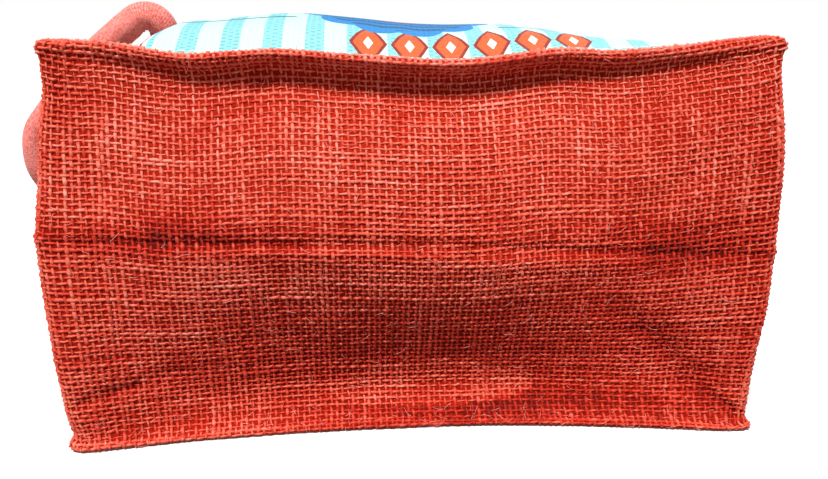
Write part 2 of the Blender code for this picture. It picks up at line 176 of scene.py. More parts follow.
def makeStudio():
    camera = bpy.data.objects.new("camera", bpy.data.cameras.new("camera"))
    camera.location = Vector(studio["cameraPlace"]) + Vector(bagOrigin)
    camera.rotation_euler = (math.radians(studio["cameraTilt"]), 0.0, math.radians(studio["cameraTurn"]))
    camera.data.lens = studio["lens"]
    camera.data.sensor_width = studio["sensor"]
    camera.data.clip_start = 0.01
    bpy.context.scene.collection.objects.link(camera)
    bpy.context.scene.camera = camera

    mesh = bmesh.new()
    bmesh.ops.create_grid(mesh, x_segments=1, y_segments=1, size=studio["floorSize"] / 2)
    bmesh.ops.translate(mesh, verts=mesh.verts, vec=(0.0, 0.0, -studio["floorDrop"]))
    floorMesh = bpy.data.meshes.new("floor")
    mesh.to_mesh(floorMesh)
    mesh.free()
    floor = bpy.data.objects.new("floor", floorMesh)
    material, tree, shader = newFinish("matte pale paper")  # a plain pale sweep, no gloss
    feed(tree, shader, {"Base Color": linear(studio["floorColour"]), "Roughness": 0.95})
    floorMesh.materials.append(material)
    floor.visible_diffuse = False  # the white paper doesn't light the folds up from below
    bpy.context.scene.collection.objects.link(floor)

    for name, source, power, spread in lamps:
        lamp = bpy.data.lights.new(name, "SUN")
        lamp.energy = power
        lamp.angle = math.radians(spread)
        holder = bpy.data.objects.new(name, lamp)
        holder.location = Vector(source)
        holder.rotation_euler = (-Vector(source)).to_track_quat("-Z", "Y").to_euler()
        bpy.context.scene.collection.objects.link(holder)

    world = bpy.data.worlds.new("studio")
    world.use_nodes = True
    tree = world.node_tree
    seen = addNode(tree, "LightPath").outputs["Is Camera Ray"]
    power = addNode(tree, "MapRange", {
        "Value": seen, "To Min": studio["fillPower"], "To Max": studio["roomPower"],
    })
    room = {"Color": linear(studio["roomColour"]), "Strength": power.outputs[0]}
    feed(tree, tree.nodes["Background"], room)
    bpy.context.scene.world = world
    bpy.context.scene.view_settings.view_transform = "Standard"  # keeps the dye's full colour


makeStudio()
print("studio ready")


def showPiece(name, mesh, materials):  # an object at the origin, from a bmesh drawn in the bag's own place
    bmesh.ops.translate(mesh, verts=mesh.verts, vec=Vector(bagOrigin))
    data = bpy.data.meshes.new(name)
    mesh.to_mesh(data)
    mesh.free()
    data.shade_smooth()
    for material in materials:
        data.materials.append(material)
    piece = bpy.data.objects.new(name, data)
    bpy.context.scene.collection.objects.link(piece)
    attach(piece, "root")
    return piece


def thicken(piece, thickness):  # the inner face takes the piece's second material
    shell = piece.modifiers.new("thickness", "SOLIDIFY")
    shell.thickness = thickness
    shell.offset = -1.0
    shell.material_offset = 1


def gridMesh(points, flatPlaces, tones=None):  # a grid put on places, and where each is on the flat cloth
    columns, rows = points.shape[:2]
    mesh = bmesh.new()
    bmesh.ops.create_grid(mesh, x_segments=columns - 1, y_segments=rows - 1, size=1.0)
    mesh.verts.index_update()
    cloth = mesh.loops.layers.uv.new("cloth")
    toneLayer = mesh.verts.layers.float.new("tone")
    spots = []
    for vert in mesh.verts:
        i = round((vert.co.x + 1) / 2 * (columns - 1))
        j = round((vert.co.y + 1) / 2 * (rows - 1))
        spots.append((i, j))
        vert.co = points[i, j]
        vert[toneLayer] = 0.0 if tones is None else float(tones[i, j])
    for face in mesh.faces:
        for loop in face.loops:
            loop[cloth].uv = flatPlaces[spots[loop.vert.index]]
    return mesh


def yarnPiece(name, yarns, material):  # many yarns in one piece, each its points, half thicknesses and tones
    curve = bpy.data.curves.new(name, "CURVE")
    curve.dimensions = "3D"
    curve.bevel_depth = 1.0
    curve.bevel_resolution = 0
    for points, halves, tones in yarns:
        points[:, 2] = np.maximum(points[:, 2], halves)  # nothing goes into the floor
        spline = curve.splines.new("POLY")
        spline.points.add(len(points) - 1)
        spline.points.foreach_set("co", np.column_stack((points, np.ones(len(points)))).ravel())
        spline.points.foreach_set("radius", halves)
    line = bpy.data.objects.new(name + "_line", curve)
    bpy.context.scene.collection.objects.link(line)
    bpy.context.view_layer.update()
    data = bpy.data.meshes.new_from_object(line.evaluated_get(bpy.context.evaluated_depsgraph_get()))
    bpy.data.objects.remove(line)
    tones = np.concatenate([yarn[2] for yarn in yarns])
    around = len(data.vertices) // len(tones)
    toneLayer = data.attributes.new("tone", "FLOAT", "POINT")
    toneLayer.data.foreach_set("value", np.repeat(tones, around).astype(np.float32))
    mesh = bmesh.new()
    mesh.from_mesh(data)
    bmesh.ops.remove_doubles(mesh, verts=mesh.verts, dist=2e-6)
    bmesh.ops.recalc_face_normals(mesh, faces=mesh.faces)
    bpy.data.meshes.remove(data)
    return showPiece(name, mesh, [material])


# the finishes
def hessianYarn():
    material, tree, shader = newFinish("dyed jute yarn, spun")  # matt, hairy, uneven dye along each yarn
    place = addNode(tree, "TexCoord").outputs["Object"]
    tone = addNode(tree, "Attribute", attribute_name="tone").outputs["Fac"]
    fibre = addNode(tree, "TexNoise", {"Vector": place, "Scale": 2600.0, "Detail": 3.0}).outputs["Fac"]
    cloud = addNode(tree, "TexNoise", {"Vector": place, "Scale": 55.0, "Detail": 4.0}).outputs["Fac"]
    mixed = addNode(tree, "Math", {0: fibre, 1: 0.42, 2: tone}, operation="MULTIPLY_ADD").outputs[0]
    mixed = addNode(tree, "Math", {0: cloud, 1: 0.35, 2: mixed}, operation="MULTIPLY_ADD").outputs[0]
    # the tone carries painted highlight and painted shade as well as the uneven dye
    ramp = addNode(tree, "ValToRGB", {"Fac": mixed})
    setStops(ramp, ((0.15, "#700500"), (0.45, "#c8280c"), (0.7, "#ee6a52"), (1.0, "#fba594")))
    bump = addNode(tree, "Bump", {"Height": fibre, "Strength": 0.7, "Distance": 0.0003})
    feed(tree, shader, {
        "Base Color": ramp.outputs["Color"], "Normal": bump.outputs["Normal"], "Roughness": 0.5,
        "Specular IOR Level": 0.22, "Sheen Weight": 0.12, "Sheen Roughness": 0.45,
        "Sheen Tint": linear("#ffb8a8"),
    })
    return material


def hessianGround():
    material, tree, shader = newFinish("dyed jute between the yarns")  # painted shade in the gaps between yarns
    place = addNode(tree, "TexCoord").outputs["Object"]
    fluff = addNode(tree, "TexNoise", {"Vector": place, "Scale": 1400.0, "Detail": 3.0}).outputs["Fac"]
    tone = addNode(tree, "Attribute", attribute_name="tone").outputs["Fac"]
    # the tone brings in the cloth's painted light and shade
    shade = addNode(tree, "Math", {0: tone, 1: 1.2, 2: fluff}, operation="MULTIPLY_ADD").outputs[0]
    ramp = addNode(tree, "ValToRGB", {"Fac": shade})
    setStops(ramp, ((0.2, "#580700"), (0.5, "#981604"), (0.75, "#b02a10")))
    bump = addNode(tree, "Bump", {"Height": fluff, "Strength": 0.6, "Distance": 0.0003})
    feed(tree, shader, {
        "Base Color": ramp.outputs["Color"], "Normal": bump.outputs["Normal"], "Roughness": 0.9,
        "Specular IOR Level": 0.1,
    })
    return material


def plainWeave(tree, across, up, pitch):  # height of a plain weave from two flat places in metres
    turns = []
    for place in (across, up):
        turn = addNode(tree, "Math", {0: place, 1: math.pi / pitch}, operation="MULTIPLY").outputs[0]
        turns.append(addNode(tree, "Math", {0: turn}, operation="SINE").outputs[0])
    checker = addNode(tree, "Math", {0: turns[0], 1: turns[1]}, operation="MULTIPLY").outputs[0]
    upper = addNode(tree, "MapRange", {"Value": checker, "From Min": -0.25, "From Max": 0.25}).outputs[0]
    ridges = [addNode(tree, "Math", {0: turn}, operation="ABSOLUTE").outputs[0] for turn in turns]
    height = addNode(tree, "Mix", {0: upper, 2: ridges[1], 3: ridges[0]}).outputs[0]
    return height


def hessianInside():
    material, tree, shader = newFinish("laminated dyed jute, inner face")  # the weave under a thin clear film
    flat = addNode(tree, "UVMap", uv_map="cloth").outputs["UV"]
    split = addNode(tree, "SeparateXYZ", {0: flat})
    height = plainWeave(tree, split.outputs[0], split.outputs[1], strip["warpPitch"])
    # darker where the weave lies low: painted shade in its hollows
    ramp = addNode(tree, "ValToRGB", {"Fac": height})
    setStops(ramp, ((0.1, "#8c1a0b"), (0.9, "#cf4630")))
    bump = addNode(tree, "Bump", {"Height": height, "Strength": 0.8, "Distance": 0.0004})
    feed(tree, shader, {
        "Base Color": ramp.outputs["Color"], "Normal": bump.outputs["Normal"], "Roughness": 0.42,
    })
    return material


# the dyed strip: left side, base and right side in one length
strip = {
    "warpPitch": 0.0021,
    "weftPitch": 0.00205,
    "warpHalf": 0.00058,  # half the thickness of a yarn
    "weftHalf": 0.00050,
    "warpWave": 0.00036,  # how far a yarn goes over and under
    "weftWave": 0.00026,
    "sunk": 0.00050,  # the yarns' middle plane, under the cloth's outer face
    "ground": 0.00045,  # the ground between the yarns starts this far under the outer face
    "hemGap": 0.0014,  # from the outer face to the face of the hem folded inside
    "troughAt": (0.800, 0.925),  # shares of the way up: between them the cloth turns under the upper ridge
    "troughFade": 0.02,
    "crestAt": 0.952,  # from here up it is rolled over the seam
    "crestFade": 0.012,
    "lowRoll": 0.0015,  # radius of the roll along the floor
    "lowTurns": (-110, -70, -30, 10, 50, 85),  # degrees round it, from inside to the outer face
    "topTurns": (-42, -10, 22, 54, 86, 118, 150, 185, 215),  # degrees round the upper roll
    "sideRoll": 0.0020,  # radius of the upper roll along the sides
    "sideRollFrom": 0.040,  # from this far behind the base
    "sideLines": 30,  # lines of the surface that are worked out on each side and on the base
    "baseLines": 36,
    "cornerTurns": (15, 30, 38, 45, 52, 60, 75),  # degrees round a corner
    "cornerSize": 0.004,
    "cornerPower": 6.0,  # how square a corner is, 2 is round
    "ridgePower": 4.5,  # the same at the seams, where it is rounder
    "seamReach": 0.012,  # how far from a seam that is felt
    "cornerLift": 0.0002,  # the lower corners stand off the floor
    "earFrom": 0.124,  # above this height the upper corners stick out
    "earRise": 0.016,
    "earReach": (0.0026, 0.0030),  # how far, left and right
    "earRoll": 1.10,  # how much thicker the roll is there
    "lean": 0.0048,  # at half height the cloth sits this much higher at the left and lower at the right
    "turn": 0.0012,  # how much more the left side folds in at the mouth
    "turnFrom": 0.01,  # only where the mouth's column folds in by more than this
    "mouthPower": 0.9,  # how soon the base's shape gives way to the mouth's
    "ridgeAtMouth": 0.1365,
    "ridgeSway": 0.0012,  # the upper ridge rises and falls along a side
    "swayTurns": 2.6,
    "headRoom": 0.050,  # the height over which the cloth follows the upper ridge
    "creaseFade": 6.0,  # half pitches over which a crease ends at the base's corners
    "broadWave": 0.00035,  # how deep the soft waves of the cloth are
    "smallWave": 0.00016,
}
yarn = {  # how uneven the yarns are
    "wander": 0.00015,  # sideways
    "wanderEvery": 16,  # half pitches from one new value to the next
    "lineWander": 0.5,  # shares of the wander: of a whole yarn, and at each crossing
    "spotWander": {"warp": 0.35, "weft": 0.55},
    "tilt": 0.00018,  # each crossing leans to one side, as the yarns' twist makes it
    "tiltShare": {"warp": 1.0, "weft": 0.5},
    "slub": 0.17,  # share of the thickness that comes and goes
    "slubEvery": 10,
    "slubLimits": (-0.36, 0.6),
    "lineSize": 0.12,  # from yarn to yarn
    "spotSize": 0.10,  # from crossing to crossing
    "spotLimits": (-0.2, 0.3),
    "thinner": 0.35,  # share taken off the warps in the trough
    "thinFade": 0.04,
    "thicker": (0.30, 0.12),  # warps on the crest, and how unevenly
    "tone": 0.16,
    "lineTone": 0.03,
    "driftTone": 0.05,
    "driftEvery": 20,
    "spotTone": 0.06,
    "spotToneLimits": (-0.14, 0.14),
    "lit": {"warp": (0.13, 0.0), "weft": (0.10, 0.02)},  # painted highlight on top of a crossing, and paler everywhere
}
# painted light and shade in the strip's tone, with rubbed wear on the crest
shadeAndWear = {
    "crest": 0.16,  # paler where the cloth is rubbed and where it faces the lamp: wear and painted highlight
    # paler in the trough: painted light in the shadow under the upper ridge
    "trough": 0.05,
    "troughFade": 0.035,
    "crease": 0.10,  # darker in the creases: painted shade
    "deepCrease": 0.002,  # a crease of this depth has all of the painted shade
    "baseEnd": 0.016,  # the painted shade and patches of the base end this far round its corners
}
foldNames = ("height", "left", "middle", "right", "mouth")
foldLines = (
    (0.0029, 0.0092, -0.0032, 0.0088, 0.0060),
    (0.0031, 0.0076, -0.0058, 0.0070, 0.0034),
    (0.0060, 0.0073, -0.0096, 0.0065, -0.0002),
    (0.0100, 0.0081, -0.0118, 0.0067, -0.0023),
    (0.0150, 0.0090, -0.0126, 0.0069, -0.0045),
    (0.0220, 0.0097, -0.0108, 0.0071, -0.0075),
    (0.0320, 0.0106, -0.0067, 0.0079, -0.0118),
    (0.0440, 0.0115, -0.0008, 0.0089, -0.0168),
    (0.0560, 0.0123, 0.0048, 0.0096, -0.0216),
    (0.0660, 0.0127, 0.0086, 0.0099, -0.0252),
    (0.0722, 0.0128, 0.0101, 0.0100, -0.0269),
    (0.0750, 0.0132, 0.0088, 0.0105, -0.0275),
    (0.0778, 0.0123, 0.0098, 0.0101, -0.0269),
    (0.0860, 0.0112, 0.0092, 0.0103, -0.0240),
    (0.0960, 0.0101, 0.0076, 0.0105, -0.0199),
    (0.1060, 0.0092, 0.0050, 0.0102, -0.0156),
    (0.1150, 0.0081, 0.0018, 0.0094, -0.0112),
    (0.1220, 0.0071, -0.0014, 0.0083, -0.0068),
    (0.1275, 0.0063, -0.0037, 0.0073, -0.0030),
    (0.1315, 0.0058, -0.0042, 0.0061, -0.0004),
    (0.1350, 0.0052, -0.0028, 0.0055, 0.0018),
    (0.1385, 0.0048, 0.0002, 0.0052, 0.0041),
    (0.1415, 0.0060, 0.0030, 0.0060, 0.0060),
)
ridgeLine = (  # the upper ridge along the base: x, height
    (-0.125, 0.1446),
    (-0.112, 0.1444),
    (-0.082, 0.1404),
    (-0.052, 0.1420),
    (-0.025, 0.1402),
    (0.016, 0.1385),
    (0.050, 0.1421),
    (0.072, 0.1415),
    (0.098, 0.1434),
    (0.125, 0.1460),
)
rollLine = (  # the radius of the cloth rolled over the upper seam, along the base
    (-0.125, 0.0027),
    (-0.110, 0.0023),
    (-0.080, 0.0019),
    (0.060, 0.0019),
    (0.090, 0.0023),
    (0.108, 0.0029),
    (0.125, 0.0033),
)
paintedShadePatches = (  # painted light and shade on the base, paler where lit and darker where shaded (x, height), how far that reaches, by how much
    (-0.029, 0.105, 0.040, 0.022, 0.12),
    (0.040, 0.114, 0.032, 0.016, 0.09),
    (-0.104, 0.100, 0.018, 0.024, 0.10),
    (-0.090, 0.0795, 0.036, 0.0070, -0.26),
    (0.100, 0.0730, 0.032, 0.0090, -0.28),
    (0.040, 0.034, 0.085, 0.019, -0.18),
    (-0.060, 0.030, 0.050, 0.012, -0.14),
    (0.000, 0.062, 0.060, 0.008, 0.10),
    (-0.114, 0.040, 0.013, 0.022, 0.05),
    (0.020, 0.0065, 0.055, 0.007, -0.24),
    (0.086, 0.009, 0.030, 0.006, -0.10),
)
baseCreases = (  # from one end to the other on the base (x, height), how deep and how wide
    (0.062, 0.056, 0.104, 0.022, 0.0008, 0.0085),
    (0.100, 0.018, 0.121, 0.004, 0.0010, 0.0040),
    (-0.118, 0.020, -0.090, 0.027, 0.0006, 0.0035),
    (-0.119, 0.128, -0.108, 0.096, 0.0012, 0.0060),
    (-0.126, 0.0795, -0.042, 0.0752, 0.0010, 0.0014),
    (-0.042, 0.0752, 0.018, 0.0714, 0.0007, 0.0014),
    (0.018, 0.0714, 0.126, 0.0700, 0.0008, 0.0015),
    (0.098, 0.1020, 0.070, 0.0760, 0.0009, 0.0050),
    (0.078, 0.0440, 0.104, 0.0210, 0.0005, 0.0040),
    (-0.054, 0.1330, -0.056, 0.1200, 0.0007, 0.0040),
    (-0.125, 0.0180, -0.102, 0.0235, 0.0006, 0.0018),
    (0.110, 0.0140, 0.125, 0.0030, 0.0008, 0.0018),
)


def ridgeHeight(x, y):  # the height of the upper ridge
    atBase = float(tableLine(ridgeLine, x))
    share = max(0.0, y) / bag["length"]
    sway = strip["ridgeSway"] * math.sin(strip["swayTurns"] * math.pi * share) * (1 if x < 0 else -1)
    return atBase + (strip["ridgeAtMouth"] - atBase) * smooth(share) + sway * smooth(4 * share)


def standOut(row, x, y):  # how far a fold line stands out of the plain wall
    fold = dict(zip(foldNames, row))
    t = x / wallX
    atBase = (
        fold["left"] * (t * t - t) / 2
        + fold["middle"] * (1 - t * t)
        + fold["right"] * (t * t + t) / 2
    )
    share = smooth(y / bag["length"]) ** strip["mouthPower"]
    pinch = strip["turn"] if x < 0 and fold["mouth"] < -strip["turnFrom"] else 0.0
    return atBase + (fold["mouth"] - pinch - atBase) * share


def clothPlace(height, out, x, y, angle):  # angle is how far round a corner, None away from one
    bulge = math.sin(math.pi * min(1.0, max(0.0, height / bag["depth"])))
    lean = strip["lean"] * bulge**2 * (-x / wallX)
    lift = smooth((height - (bag["depth"] - strip["headRoom"])) / strip["headRoom"])
    top = ridgeHeight(x * bag["width"] / 2 / wallX, y)
    z = height + lean * (1 - lift) + (top - bag["depth"]) * lift
    side = math.copysign(1.0, x)
    if angle is not None:
        atEar = smooth((height - strip["earFrom"]) / strip["earRise"]) * math.sin(2 * angle) ** 2
        reach = strip["cornerSize"] + out + strip["earReach"][0 if x < 0 else 1] * atEar
        atSeam = 1 - smooth(min(height, bag["depth"] - height) / strip["seamReach"])
        power = strip["cornerPower"] + (strip["ridgePower"] - strip["cornerPower"]) * atSeam
        across = max(0.0, math.cos(angle)) ** (2 / power)
        ahead = max(0.0, math.sin(angle)) ** (2 / power)
        z += strip["cornerLift"] * (1 - smooth(height / strip["seamReach"])) * math.sin(2 * angle)
        middleX = side * (wallX - strip["cornerSize"])
        return (middleX + side * reach * across, wallY + strip["cornerSize"] - reach * ahead, z)
    if y <= 0.0:
        return (x, wallY - out, z)
    return (x + side * out, float(uneven(wallY + y, height + x)), z)


def stripProfile(x, y, angle):  # one line across the strip, with its edges rolled over the seams
    places = []
    outs = [standOut(row, x, y) for row in foldLines]
    heights = [row[0] for row in foldLines]
    low = strip["lowRoll"]
    for degrees in strip["lowTurns"]:
        a = math.radians(degrees)
        places.append((heights[0] - low + low * math.sin(a), outs[0] - low + low * math.cos(a)))
    places += list(zip(heights[1:-2], outs[1:-2]))
    atCorner = 0.0 if angle is None else math.sin(2 * angle) ** 2
    atBase = float(tableLine(rollLine, x))
    top = atBase + (strip["sideRoll"] - atBase) * smooth(y / strip["sideRollFrom"])
    top *= 1 + (strip["earRoll"] - 1) * atCorner
    for degrees in strip["topTurns"]:
        a = math.radians(degrees)
        places.append((bag["depth"] - top + top * math.sin(a), outs[-1] - top + top * math.cos(a)))
    return np.array([clothPlace(height, out, x, y, angle) for height, out in places])


def creaseDent(x, z):  # how deep the creases of the base are here
    total = np.zeros_like(x)
    for x1, z1, x2, z2, depth, width in baseCreases:
        runX, runZ = x2 - x1, z2 - z1
        share = np.clip(((x - x1) * runX + (z - z1) * runZ) / (runX**2 + runZ**2), 0.0, 1.0)
        away = np.hypot(x - x1 - runX * share, z - z1 - runZ * share)
        total += depth * np.exp(-((away / width) ** 2))
    return total


def stripSurface():  # the strip's outer face at every half pitch: places, outward and edge directions
    size = strip["cornerSize"]
    sideRun = list(np.linspace(bag["length"] - wallY, size, strip["sideLines"]))
    baseRun = list(np.linspace(-wallX + size, wallX - size, strip["baseLines"]))
    corner = [math.radians(a) for a in strip["cornerTurns"]]
    lines = [(-wallX, y, None) for y in sideRun]
    lines += [(-wallX, 0.0, a) for a in corner]
    lines += [(x, 0.0, None) for x in baseRun]
    lines += [(wallX, 0.0, a) for a in reversed(corner)]
    lines += [(wallX, y, None) for y in reversed(sideRun)]
    profiles = [stripProfile(*line) for line in lines]
    across = max(runAlong(profile)[-1] for profile in profiles)
    wefts = round(across / strip["weftPitch"])
    table = np.array([evenly(profile, 2 * wefts + 1) for profile in profiles])
    steps = np.linalg.norm(np.diff(table, axis=0), axis=2).mean(axis=1)
    run = np.concatenate(([0.0], np.cumsum(steps)))
    warps = round(run[-1] / strip["warpPitch"])
    surface = along(run, table, np.linspace(0.0, run[-1], 2 * warps + 1))
    middle = len(sideRun) + len(corner) // 2
    cornerRuns = [run[middle], run[middle + len(corner) + len(baseRun)]]
    cornerWarps = [round(at / run[-1] * warps) for at in cornerRuns]

    outward = directions(surface)[2]
    line = np.arange(surface.shape[0])
    fade = np.minimum(line - 2 * cornerWarps[0], 2 * cornerWarps[1] - line)
    onBase = smooth(fade / strip["creaseFade"])[:, None]
    dent = creaseDent(surface[:, :, 0], surface[:, :, 2]) * onBase
    dent += wrinkles(surface)
    surface = surface - outward * dent[:, :, None]
    print("strip:", warps, "warps,", wefts, "wefts,", round(run[-1], 4), "by", round(across, 4), "m")
    return surface, wefts, cornerWarps, run[-1], across


def wrinkles(surface):  # soft unplanned waves of the whole cloth, of unlike lengths so that none repeats
    x, y, z = surface[:, :, 0], surface[:, :, 1], surface[:, :, 2]
    broad = strip["broadWave"] * np.sin(x / 0.017 + 1.3 * np.sin(z / 0.021)) * np.sin(z / 0.016 + 0.8)
    small = strip["smallWave"] * np.sin(x / 0.0061 + z / 0.011) * np.sin(z / 0.0072 - x / 0.019 + y / 0.01)
    return broad + small


def directions(surface):  # unit directions along the strip and across it, and out of the cloth
    first = np.gradient(surface, axis=0)
    second = np.gradient(surface, axis=1)
    first /= np.linalg.norm(first, axis=2, keepdims=True)
    second /= np.linalg.norm(second, axis=2, keepdims=True)
    outward = np.cross(first, second)
    outward /= np.linalg.norm(outward, axis=2, keepdims=True)
    return first, second, outward


def turnedHem(rows, outward, ahead, gap, count):  # the cloth folded back under itself past its last row
    roll = 4
    middle = rows[-1] - outward[-1] * gap / 2
    rim = []
    for step in range(1, roll):
        a = math.pi * step / roll
        rim.append(middle + (outward[-1] * math.cos(a) + ahead * math.sin(a)) * gap / 2)
    return rim + [rows[-1 - k] - outward[-1 - k] * gap for k in range(count)]


def withHems(surface):  # the cloth turned over the mouth's edge and folded flat inside, at both ends
    first, _, outward = directions(surface)
    turned = round(bag["hemWidth"] / strip["warpPitch"]) * 2
    left = turnedHem(surface[::-1], outward[::-1], -first[0], strip["hemGap"], turned)
    right = turnedHem(surface, outward, first[-1], strip["hemGap"], turned)
    return np.array(left[::-1] + list(surface) + right), len(left)


def crestAndTrough(count, lowFade):  # shares, at each of so many rows up the strip
    share = np.linspace(0.0, 1.0, count)
    low, high = strip["troughAt"]
    crest = smooth((share - strip["crestAt"]) / strip["crestFade"])
    trough = smooth((share - low) / lowFade) * (1 - smooth((share - high) / strip["troughFade"]))
    return crest, trough


# paler on the crest (wear and painted highlight) and in the trough (painted light), darker in creases
# (painted shade), with the painted light and shade patches of the base
def shadeAndWearTone(surface):  # painted light and shade, with rubbed wear on the crest
    crest, trough = crestAndTrough(surface.shape[1], shadeAndWear["troughFade"])
    onBase = surface[:, :, 1] < shadeAndWear["baseEnd"]
    crease = creaseDent(surface[:, :, 0], surface[:, :, 2]) / shadeAndWear["deepCrease"] * onBase
    # the patches paint light where they are paler and shade where they are darker
    patches = np.zeros_like(crease)
    for x, z, wide, tall, amount in paintedShadePatches:
        away = ((surface[:, :, 0] - x) / wide) ** 2 + ((surface[:, :, 2] - z) / tall) ** 2
        patches += amount * np.exp(-away) * onBase
    return shadeAndWear["crest"] * crest + shadeAndWear["trough"] * trough - shadeAndWear["crease"] * np.clip(crease, 0, 1) + patches


def yarnSpots(start, end, fine):  # a yarn's points: each half pitch, or its ends and where it crosses others
    return np.arange(start, end + 1) if fine else np.unique([start, *range(start | 1, end, 2), end])


def weaveYarns(surface, first, second, outward, wefts, part, fine):
    # part is the first and last warp of this stretch, and fine says whether a yarn bends between crossings
    step = 1 if fine else 2
    low, high = part
    start, end = max(0, 2 * low - 1), min(surface.shape[0] - 1, 2 * high + 1)
    warpSpots = yarnSpots(0, 2 * wefts, fine)
    weftSpots = yarnSpots(start, end, fine)
    sets = {
        "warp": [(np.full(len(warpSpots), 2 * a + 1), warpSpots) for a in range(low, high)],
        "weft": [(weftSpots, np.full(len(weftSpots), 2 * b + 1)) for b in range(wefts)],
    }
    # painted light and shade, and rubbed wear, at each point of the cloth
    tone = shadeAndWearTone(surface)
    rubbed, hidden = crestAndTrough(surface.shape[1], yarn["thinFade"])
    made = {"warp": [], "weft": []}
    for kind, lines in sets.items():
        warp = kind == "warp"
        sideways = first if warp else second
        paler, everywhere = yarn["lit"][kind]
        for i, j in lines:
            count = len(i)
            side = np.where((i // 2 + j // 2) % 2 == 0, 1.0, -1.0)
            over = np.where((i % 2 == 1) & (j % 2 == 1), side if warp else -side, 0.0)
            between = np.where((i + j) % 2 == 1, side, 0.0)
            points = surface[i, j] + outward[i, j] * (strip[kind + "Wave"] * over - strip["sunk"])[:, None]
            wander = drift(count, yarn["wanderEvery"] // step, yarn["wander"])
            wander += rng.normal(0.0, yarn["wander"] * yarn["lineWander"])
            wander += between * yarn["tilt"] * yarn["tiltShare"][kind]
            wander += rng.normal(0.0, yarn["wander"] * yarn["spotWander"][kind], count)
            points = points + sideways[i, j] * wander[:, None]
            slub = drift(count, yarn["slubEvery"] // step, yarn["slub"]) + rng.normal(0.0, yarn["lineSize"])
            slub = 1.0 + np.clip(slub, *yarn["slubLimits"])
            slub += np.clip(rng.normal(0.0, yarn["spotSize"], count), *yarn["spotLimits"])
            if warp:
                more, unevenly = yarn["thicker"]
                slub = slub * (1.0 - yarn["thinner"] * hidden[j])
                slub = slub + (more + rng.normal(0.0, unevenly, count)) * rubbed[j]
            halves = strip[kind + "Half"] * slub
            halves[[0, -1]] = 0.0
            tones = yarn["tone"] + rng.normal(0.0, yarn["lineTone"])
            tones = tones + drift(count, yarn["driftEvery"] // step, yarn["driftTone"])
            # a painted highlight on top of each crossing, then the painted light and shade of the cloth
            tones = tones + (paler * over + everywhere) + tone[i, j]
            spots = rng.normal(0.0, yarn["spotTone"], count)
            made[kind].append((points, halves, tones + np.clip(spots, *yarn["spotToneLimits"])))
    return made


def makeStrip():
    surface, wefts, corners, length, across = stripSurface()
    full, extra = withHems(surface)
    first, second, outward = directions(full)
    extraWarps = (extra + 1) // 2
    ground = full - outward * strip["ground"]
    coarse = ground[::2, ::2]
    flatU = np.arange(0, full.shape[0], 2) * strip["warpPitch"] / 2
    flatV = np.arange(0, full.shape[1], 2) * strip["weftPitch"] / 2
    flat = np.stack(np.meshgrid(flatU, flatV, indexing="ij"), axis=2)
    # the ground takes the same painted light and shade as the yarns
    mesh = gridMesh(coarse, flat, shadeAndWearTone(full)[::2, ::2])
    cloth = showPiece("gusset_cloth", mesh, [hessianGround(), hessianInside()])
    thicken(cloth, bag["cloth"] - strip["ground"])
    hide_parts("gusset")

    yarnFinish = hessianYarn()
    totalWarps = (full.shape[0] - 1) // 2
    left, right = corners[0] + extraWarps, corners[1] + extraWarps
    stretches = (
        ("left", (0, left), False),
        ("base", (left, right), True),
        ("right", (right, totalWarps), False),
    )
    for name, part, fine in stretches:
        made = weaveYarns(full, first, second, outward, wefts, part, fine)
        for kind, yarns in made.items():
            piece = yarnPiece(name + "_" + kind, yarns, yarnFinish)
            print(piece.name, len(piece.data.polygons) * 2, "triangles")
    return surface, yarnFinish


stripFace, yarnFinish = makeStrip()
print("strip woven")


